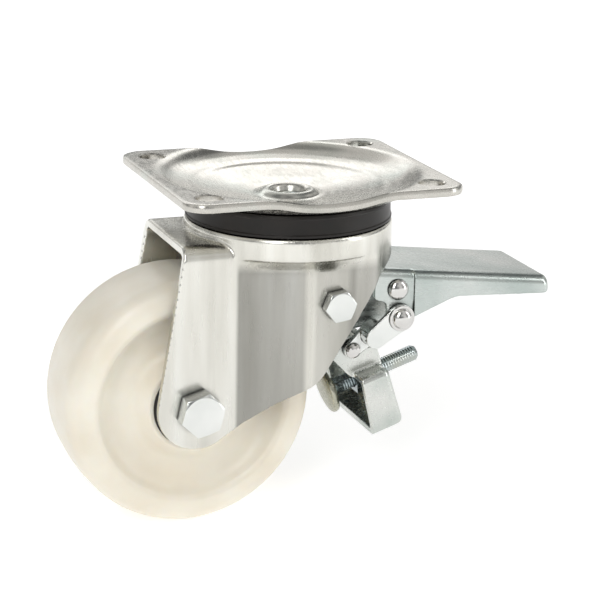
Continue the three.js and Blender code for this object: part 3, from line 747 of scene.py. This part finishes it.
def make_bracket_fasteners():
    radius = M6["radius"]
    profile = [(0, 19.6), (radius - 0.4, 19.6), (radius, 20.1), (radius, 31.4), (0, 31.4)]
    for side, word in SIDES:
        node = "bracket_screw_" + word
        centre = span(node)[2]
        origin = (centre[0], 0, centre[2])
        head = hexagon(node + "_finished", M6["across"], 31.3, 35.5, origin, (0, side, 0), turn=0.15)
        shank = lathe("shank", profile, origin, (0, side, 0), 40)
        finish(boolean(head, shank, "UNION"), "bright", "bright_zinc", "fork", node)


def dome(radius, seat, rise, count):
    """Profile points of a half dome, from its rim up to just short of its top."""
    angles = np.linspace(0, QUARTER, count)[:-1]
    return [(radius * math.cos(a), seat + rise * math.sin(a)) for a in angles]


def make_domed_pin(node, origin, radius, reach, head, rise, body):
    half = [(radius, reach), (head, reach, 0.2)] + dome(head, reach, rise, 9)[1:]
    other = [(r, -h, *rest) for r, h, *rest in half[::-1]]
    profile = [(0, -reach - rise)] + other + half + [(0, reach + rise)]
    pin = lathe(node + "_turned", profile, origin, Y_AXIS, 64)
    finish(pin, "polished", "polished_steel", body, node)


def make_link_rivet(side, node):
    """A domed rivet standing on a thin washer."""
    low, high, _ = span(node)
    inner, outer = sorted((abs(low[1]), abs(high[1])))
    tail, shank, washer, head = 4, 2.6, 4.7, 3.75
    seat = outer - 2.8
    top = seat + 0.55
    stem = [(0, inner), (tail, inner, 0.3), (tail, inner + 0.9, 0.2), (shank, inner + 0.9), (shank, seat)]
    rim = [(washer, seat, 0.15), (washer, top, 0.2), (head, top)]
    profile = stem + rim + dome(head, top, 2.25, 10) + [(0, outer)]
    rivet = lathe(node + "_turned", profile, (LINK_PIVOT[0], 0, LINK_PIVOT[2]), (0, side, 0), 64)
    finish(rivet, "polished", "polished_steel", "pedal", node)


# ---- brake ----
def soft_copy(node, voxel, rounds, material, slot, body, ratio=1.0):
    """The CAD solid's own shape, with the rounded edges of pressed sheet."""
    piece = cad_copy(node)
    piece.name = node + "_pressed"
    soften(piece, voxel, rounds, ratio)
    finish(piece, material, slot, body, node)


PEDAL_LOW, PEDAL_HIGH, _ = span("brake_pedal")
PEDAL_SLOPE = 0.1168
PEDAL_SHEET = 2.0
PEDAL_JOGGLE = 41.0  # where the wide tread narrows to the flanges at the pivots


def pedal_top(x):
    return PEDAL_HIGH[2] - PEDAL_SLOPE * (x - PEDAL_LOW[0])


def pedal_block(name, start, end, half, roll, sunk, lower_edge):
    """A solid bar with the tread's rolled edges, rounded off at its far end.

    sunk lowers its top, and lower_edge gives its bottom at x.
    """
    nose = 3.0 - 0.7 * sunk
    quarter = np.linspace(0, QUARTER, 8)
    stations = list(np.linspace(start, end - nose, 30))
    stations += [end - nose * (1 - math.sin(a)) for a in quarter[1:-1]]
    stations.append(end - 0.02)
    vertices = []
    for x in stations:
        past = max(x - (end - nose), 0)
        inset = nose - math.sqrt(max(nose * nose - past * past, 0))
        side, top = half - inset, pedal_top(x) - sunk - inset * 0.8
        bottom = lower_edge(x) + inset * 0.5
        corner = [(side - roll * (1 - math.cos(a)), top - roll * (1 - math.sin(a))) for a in quarter]
        right = [(side, bottom), *corner]
        section = [(-y, z) for y, z in right] + right[::-1]
        vertices += [(x, y, z) for y, z in section]
    count = len(section)
    faces = grid_faces(len(stations), count, False, True)
    faces.append(tuple(range(count)))
    faces.append(tuple(range((len(stations) - 1) * count, len(stations) * count))[::-1])
    return new_object(name, vertices, faces)


# The skirts' lower edge from the joggle to the nose: X and height.
SKIRT = [(41, -52.2), (43, -51.3), (56, -46.2), (58.5, -45.8), (95, -47.6)]


def skirt_edge(x):
    return np.interp(x, *zip(*SKIRT))


def make_pedal():
    """One pressed channel: a tread with rolled edges, skirts that deepen to the pivots, and a nose."""
    start, end, half, sheet = PEDAL_JOGGLE, PEDAL_HIGH[0], PEDAL_HIGH[1], PEDAL_SHEET
    roll = 3.2
    pedal = pedal_block("brake_pedal_pressed", start, end, half, roll, 0, skirt_edge)
    hollow = pedal_block("hollow", start - 5, end - sheet, half - sheet, 1.4, sheet, lambda x: -70.0)
    boolean(pedal, hollow, "DIFFERENCE")
    lever = cad_copy("brake_pedal")
    flange = max(abs(v.co.y) for v in lever.data.vertices if v.co.x < 0.035) / MM
    keep = pedal_block("keep", PEDAL_LOW[0] - 5, start + 3.5, flange + 0.02, roll, 0, lambda x: -70.0)
    boolean(lever, keep, "INTERSECT")
    boolean(pedal, lever, "UNION")
    soften(pedal, 0.34, 3, 0.45)
    finish(pedal, "pedal", "zinc_plate", "pedal", "brake_pedal")


# ---- brake shoe ----
SCREW_ORIGIN = (14.35, 0, -83.84)  # the middle of the screw's face against the tread
SHOE_HALF = 20.2
SHOE_SHEET = 2.4
SHOE_BEND = 2.6
SHOE_BACK = 21.2  # from the screw's origin along the screw; the next two are across it
SHOE_BOTTOM = -15.0
SHOE_TOP = 7.65
THROAT_HALF = 10.7  # half-width between the necks
NECK_HALF = 12.8  # half-width over the necks


def on_shoe(piece):
    """Turns a piece made with its X along the screw and Z across it to its place on the shoe."""
    tilt = math.atan2(SCREW_AXIS[2], SCREW_AXIS[0])
    piece.data.transform(Matrix.Translation(Vector(SCREW_ORIGIN) * MM) @ Matrix.Rotation(-tilt, 4, "Y"))
    return piece


def rounded_box(name, low, high, radius=0.0):
    """A box between two corners in the screw's directions, set on the shoe."""
    across, along, up = zip(low, high)
    corners = [(x, y, z) for x in across for y in along for z in up]
    faces = [(0, 1, 3, 2), (4, 6, 7, 5), (0, 4, 5, 1), (2, 3, 7, 6), (0, 2, 6, 4), (1, 5, 7, 3)]
    box = new_object(name, corners, faces, smooth=False)
    if radius:
        bevel = box.modifiers.new("bend", "BEVEL")
        bevel.width = radius * MM
        bevel.segments = 6
        apply_modifiers(box)
    return on_shoe(box)


def make_brake_shoe():
    """A box pressed from one sheet, open to the wheel, on two necks that hang from the pivot."""
    half, sheet, back, bottom, top = SHOE_HALF, SHOE_SHEET, SHOE_BACK, SHOE_BOTTOM, SHOE_TOP
    shoe = rounded_box("brake_shoe_pressed", (-6, -half, bottom), (back, half, top), SHOE_BEND)
    low, high = (-9, -half + sheet, bottom + sheet), (back - sheet, half - sheet, top - sheet)
    boolean(shoe, rounded_box("inner", low, high, 1.0), "DIFFERENCE")
    opening = [(-12, -24), (7.8, -24), (8.4, bottom), (10.2, top), (10.9, 20), (-12, 20)]
    boolean(shoe, on_shoe(prism("front", opening, -40, 40)), "DIFFERENCE")
    throat = rounded_box("throat", (-10, -THROAT_HALF, 3.5), (back - sheet, THROAT_HALF, 30))
    boolean(shoe, throat, "DIFFERENCE")
    necks = cad_copy("brake_shoe")
    boolean(necks, rounded_box("keep", (-30, -NECK_HALF, 5.4), (40, NECK_HALF, 60)), "INTERSECT")
    boolean(shoe, necks, "UNION")
    boolean(shoe, on_shoe(cylinder(3.3, (back, 0, 0), X_AXIS, 10)), "DIFFERENCE")
    soften(shoe, 0.34, 3, 0.45)
    finish(shoe, "shoe", "zinc_plate", "shoe", "brake_shoe")


SCREW = {"head": 8.8, "radius": 3.0, "length": 38.6, "pitch": 1.0, "thread": 7.0, "depth": 0.2}
SCREW_HEAD_END = 4.5


def screw_profile():
    """The mushroom head and the plain neck: radius and distance along the screw."""
    head, radius = SCREW["head"], SCREW["radius"]
    face = [(0, 0), (5.5, 0.3, 1), (8.3, 1.0, 0.6), (head, 1.9, 0.5), (8.5, 3.2, 0.4)]
    neck = [(4.4, 3.4, 0.6), (3.3, 5.0, 0.6), (radius, 6.0)]
    return rounded_profile(face + neck, 6)


def make_adjusting_screw():
    """Mushroom head, plain neck and a shank with a shallow rolled thread."""
    axis = Vector(SCREW_AXIS).normalized()
    origin = Vector(SCREW_ORIGIN)
    radius, length, pitch, start = SCREW["radius"], SCREW["length"], SCREW["pitch"], SCREW["thread"]
    profile = screw_profile()
    lengths = np.arange(start, length - 1.0, pitch / 8)
    turn = Vector(Z_AXIS).rotation_difference(axis).to_matrix()
    segments = 40
    vertices = []
    for k in range(segments):
        angle = 2 * math.pi * k / segments
        rows = list(profile)
        for h in lengths:
            wave = abs(((h / pitch - k / segments) % 1) * 2 - 1)
            fade = min(1, (h - start) / 1.5)
            rows.append((radius - SCREW["depth"] * wave * fade, h))
        rows += [(radius - 0.4, length - 0.7), (radius - 0.9, length), (0, length)]
        for r, h in rows:
            vertices.append(turn @ Vector((r * math.cos(angle), r * math.sin(angle), h)) + origin)
    faces = grid_faces(segments, len(vertices) // segments, True, False)
    screw = new_object("adjusting_screw_threaded", vertices, faces)
    finish(screw, "dark", "dark_steel", "screw", "adjusting_screw")
    screw.data.materials.append(MATERIALS["olive"])
    for face in screw.data.polygons:
        along = (face.center / MM - origin).dot(axis)
        face.material_index = 1 if along < SCREW_HEAD_END else 0


make_top_plate()
make_king_pin()
make_dust_seal()
make_fork()
make_wheel()
for side, word in SIDES:
    make_bearing_cap(side, "bearing_cap_" + word)
make_axle()
make_bracket_fasteners()
make_domed_pin("pedal_pivot_pin", (PEDAL_PIVOT[0], 0, PEDAL_PIVOT[2]), 2.4, 19.5, 3.8, 2.2, "fork")
make_domed_pin("shoe_pivot_pin", (SHOE_PIVOT[0], 0, SHOE_PIVOT[2]), 2.0, 13.0, 2.8, 1.2, "fork")
for side, word in SIDES:
    make_link_rivet(side, "link_rivet_" + word)
make_pedal()
make_adjusting_screw()
soft_copy("brake_bracket", 0.36, 3, "pedal", "zinc_plate", "fork", 0.5)
make_brake_shoe()
for _, word in SIDES:
    soft_copy("link_" + word, 0.26, 3, "bright", "bright_zinc", "links", 0.6)
soft_copy("lower_race_cup", 0.4, 2, "plate", "zinc_plate", "plate", 0.5)


# ---- studio ----
def make_camera():
    """The camera looks at the caster from the near, wheel side, a little from above."""
    turn, tilt, roll = math.radians(21.04), math.radians(16.62), math.radians(1.2)
    distance = 0.7266
    target = Vector((0.0052, 0, -0.04824))
    back = Vector((-math.sin(turn) * math.cos(tilt), -math.cos(turn) * math.cos(tilt), math.sin(tilt)))
    right = (-back).cross(Vector((0, 0, 1))).normalized()
    up = right.cross(-back)
    rolled_right = math.cos(roll) * right + math.sin(roll) * up
    rolled_up = -math.sin(roll) * right + math.cos(roll) * up
    data = bpy.data.cameras.new("camera")
    data.sensor_width = 36
    data.lens = 122.1
    data.clip_start = 0.01
    camera = bpy.data.objects.new("camera", data)
    rotation = Matrix((rolled_right, rolled_up, back)).transposed().to_4x4()
    camera.matrix_world = Matrix.Translation(target + distance * back) @ rotation
    bpy.context.scene.collection.objects.link(camera)
    bpy.context.scene.camera = camera


def make_light(name, place, size, power, target=(0, 0, -0.05)):
    data = bpy.data.lights.new(name, "AREA")
    data.shape = "RECTANGLE"
    data.size, data.size_y = size
    data.energy = power
    light = bpy.data.objects.new(name, data)
    direction = Vector(target) - Vector(place)
    facing = direction.to_track_quat("-Z", "Y").to_matrix().to_4x4()
    light.matrix_world = Matrix.Translation(place) @ facing
    bpy.context.scene.collection.objects.link(light)


def make_world():
    """White to the eye, with broad brighter and darker areas for the metal to reflect."""
    world = bpy.data.worlds.new("studio")
    world.use_nodes = True
    nodes, links = world.node_tree.nodes, world.node_tree.links
    coordinates = nodes.new("ShaderNodeTexCoord")
    stretch = nodes.new("ShaderNodeMapping")
    stretch.inputs["Scale"].default_value = (2.6, 2.6, 1.1)
    links.new(coordinates.outputs["Generated"], stretch.inputs["Vector"])
    tone = ramp(nodes, links, noise(nodes, links, stretch.outputs["Vector"], detail=1.0, roughness=0.4),
                [(0.36, (0.16, 0.165, 0.17)), (0.5, (0.5, 0.5, 0.49)), (0.64, (1.0, 0.99, 0.97))])
    background = nodes["Background"]
    background.inputs["Strength"].default_value = 0.85
    links.new(tone, background.inputs["Color"])
    backdrop = nodes.new("ShaderNodeBackground")
    backdrop.inputs["Strength"].default_value = 1.0
    backdrop.inputs["Color"].default_value = (1, 1, 1, 1)
    path = nodes.new("ShaderNodeLightPath")
    mix = nodes.new("ShaderNodeMixShader")
    links.new(path.outputs["Is Camera Ray"], mix.inputs["Fac"])
    links.new(background.outputs["Background"], mix.inputs[1])
    links.new(backdrop.outputs["Background"], mix.inputs[2])
    links.new(mix.outputs["Shader"], nodes["World Output"].inputs["Surface"])
    bpy.context.scene.world = world


def make_floor():
    """A plain pale floor that glows a little more far away, so that it meets the white background."""
    half = 9000.0
    height = FLOOR_Z / MM
    corners = [(-half, -half), (half, -half), (half, half), (-half, half)]
    floor = new_object("floor", [(x, y, height) for x, y in corners], [(0, 1, 2, 3)])
    material, nodes, links, shader = new_material("floor")
    shader.inputs["Base Color"].default_value = (0.9, 0.9, 0.9, 1)
    shader.inputs["Roughness"].default_value = 0.8
    shader.inputs["Emission Color"].default_value = (1, 1, 1, 1)
    coordinates = nodes.new("ShaderNodeTexCoord")
    distance = nodes.new("ShaderNodeVectorMath")
    distance.operation = "LENGTH"
    links.new(coordinates.outputs["Object"], distance.inputs[0])
    glow = nodes.new("ShaderNodeMapRange")
    glow.inputs["From Min"].default_value = 0.25
    glow.inputs["From Max"].default_value = 1.5
    glow.inputs["To Min"].default_value = 0.42
    glow.inputs["To Max"].default_value = 0.7
    links.new(distance.outputs["Value"], glow.inputs["Value"])
    links.new(glow.outputs["Result"], shader.inputs["Emission Strength"])
    floor.data.materials.append(material)


def make_studio():
    make_world()
    make_floor()
    make_light("key", (-0.55, -0.8, 0.6), (0.35, 0.9), 5.0)
    make_light("side", (0.75, -0.5, 0.25), (0.15, 0.8), 1.6)
    make_light("back", (0.1, 0.9, 0.5), (1.0, 0.3), 1.6)


make_camera()
make_studio()
bpy.context.scene.view_settings.view_transform = "Standard"
